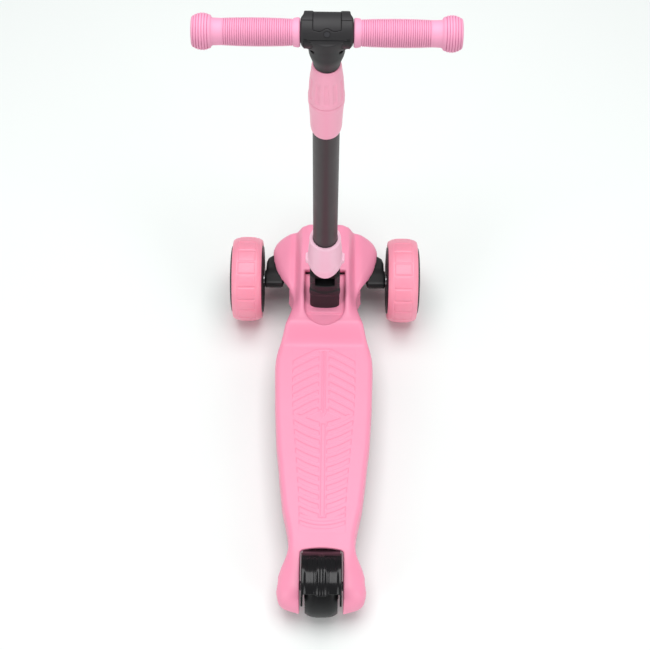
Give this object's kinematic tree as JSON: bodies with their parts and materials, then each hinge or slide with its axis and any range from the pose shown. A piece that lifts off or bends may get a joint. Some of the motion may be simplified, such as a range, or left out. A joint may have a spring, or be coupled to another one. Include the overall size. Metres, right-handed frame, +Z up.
{
  "type": "kick scooter",
  "caption": "Small three-wheeled kick scooter with two leaning front wheels, a folding stem, a telescopic T-bar and a rear foot brake.",
  "frame": {"origin": "on the floor, under the middle of the scooter's box", "axes": "+Z up, +Y forward, +X to the rider's right"},
  "size_m": [0.289, 0.58, 0.6717],
  "materials": {
    "deck_pink": "satin moulded pink plastic",
    "collar_pink": "satin moulded pale pink plastic",
    "grip_pink": "ribbed pink soft rubber",
    "tyre_pink": "translucent pink polyurethane",
    "black_plastic": "fine-textured black plastic",
    "gloss_black": "polished black plastic",
    "rear_tyre_black": "black polyurethane",
    "stem_charcoal": "matte charcoal powder coat on aluminium",
    "head_charcoal": "matte charcoal plastic",
    "zinc_steel": "zinc-plated steel",
    "bearing_steel": "ground bearing steel",
    "natural_nylon": "natural nylon",
    "clear_plastic": "frosted clear plastic over the lights"
  },
  "bodies": {
    "deck_body": {"deck": "deck_pink", "underside_cover": "black_plastic", "cover_screws": "zinc_steel", "steering_bracket": "zinc_steel", "bracket_screws": "zinc_steel", "kingpins": "zinc_steel", "kingpin_nuts": "zinc_steel", "return_springs": "zinc_steel", "fold_base": "black_plastic", "fold_base_screws": "zinc_steel", "fold_pin": "zinc_steel", "rear_axle": "zinc_steel", "rear_axle_nut": "zinc_steel", "brake_pin": "zinc_steel", "brake_spring": "zinc_steel"},
    "tie_rod": {"tie_rod": "zinc_steel"},
    "left_steering": {"left_knuckle": "black_plastic", "left_axle": "zinc_steel", "left_axle_nut": "zinc_steel"},
    "right_steering": {"right_knuckle": "black_plastic", "right_axle": "zinc_steel", "right_axle_nut": "zinc_steel"},
    "left_wheel": {"left_tyre": "tyre_pink", "left_hub": "black_plastic", "left_hub_cap": "gloss_black", "left_bearings": "bearing_steel", "left_spacer": "zinc_steel", "left_light_ring": "clear_plastic"},
    "right_wheel": {"right_tyre": "tyre_pink", "right_hub": "black_plastic", "right_hub_cap": "gloss_black", "right_bearings": "bearing_steel", "right_spacer": "zinc_steel", "right_light_ring": "clear_plastic"},
    "rear_wheel": {"rear_tyre": "rear_tyre_black", "rear_core": "black_plastic", "rear_bearings": "bearing_steel", "rear_spacer": "zinc_steel"},
    "brake": {"brake_fender": "gloss_black"},
    "stem": {"stem_foot": "black_plastic", "foot_bushes": "natural_nylon", "foot_cross_pin": "zinc_steel", "lower_tube": "stem_charcoal", "lock_spring": "zinc_steel", "clamp_body": "deck_pink", "clamp_collet": "natural_nylon"},
    "collar": {"lock_collar": "collar_pink"},
    "ring": {"clamp_ring": "deck_pink"},
    "t_bar": {"inner_tube": "stem_charcoal", "guide_bush": "natural_nylon", "tee_core": "black_plastic", "head_rear_shell": "head_charcoal", "head_front_shell": "head_charcoal", "head_cap": "head_charcoal", "head_screws": "zinc_steel", "crossbar": "stem_charcoal", "left_grip": "grip_pink", "right_grip": "grip_pink"}
  },
  "joints": [
    {"name": "left_steer", "type": "hinge", "parent": "deck_body", "child": "left_steering", "pos_m": [-0.04, 0.229, 0.056], "axis": [0, 0.4226, 0.9063], "range_deg": [-15, 15], "stiffness_Nm_per_rad": 40},
    {"name": "right_steer", "type": "hinge", "parent": "deck_body", "child": "right_steering", "pos_m": [0.04, 0.229, 0.056], "axis": [0, 0.4226, 0.9063], "range_deg": [-15, 15]},
    {"name": "tie_slide", "type": "slide", "parent": "deck_body", "child": "tie_rod", "axis": [1, 0, 0], "range_m": [-0.0064, 0.0064], "deforming": ["return_springs"]},
    {"name": "left_spin", "type": "hinge", "parent": "left_steering", "child": "left_wheel", "pos_m": [-0.11, 0.207, 0.06], "axis": [1, 0, 0], "continuous": true},
    {"name": "right_spin", "type": "hinge", "parent": "right_steering", "child": "right_wheel", "pos_m": [0.11, 0.207, 0.06], "axis": [1, 0, 0], "continuous": true},
    {"name": "rear_spin", "type": "hinge", "parent": "deck_body", "child": "rear_wheel", "pos_m": [0, -0.25, 0.04], "axis": [1, 0, 0], "continuous": true},
    {"name": "brake_press", "type": "hinge", "parent": "deck_body", "child": "brake", "pos_m": [0, -0.20405, 0.052], "axis": [1, 0, 0], "range_deg": [0, 4], "stiffness_Nm_per_rad": 8, "springref_deg": -2.86, "deforming": ["brake_spring"]},
    {"name": "stem_fold", "type": "hinge", "parent": "deck_body", "child": "stem", "pos_m": [0, 0.1645, 0.152], "axis": [1, 0, 0], "range_deg": [0, 86]},
    {"name": "collar_lift", "type": "slide", "parent": "stem", "child": "collar", "axis": [0, -0.061, 0.9981], "range_m": [0, 0.0221], "deforming": ["lock_spring"]},
    {"name": "clamp_twist", "type": "hinge", "parent": "stem", "child": "ring", "pos_m": [0, 0.1645, 0.152], "axis": [0, -0.061, 0.9981], "range_deg": [0, 60]},
    {"name": "height_slide", "type": "slide", "parent": "stem", "child": "t_bar", "axis": [0, -0.061, 0.9981], "range_m": [0, 0.15]}
  ],
  "couplings": [
    {"joint": "right_steer", "follows": "left_steer", "ratio": 1},
    {"joint": "tie_slide", "follows": "left_steer", "m_per_rad": 0.024},
    {"joint": "collar_lift", "follows": "stem_fold", "m_per_rad": 0.01466}
  ]
}
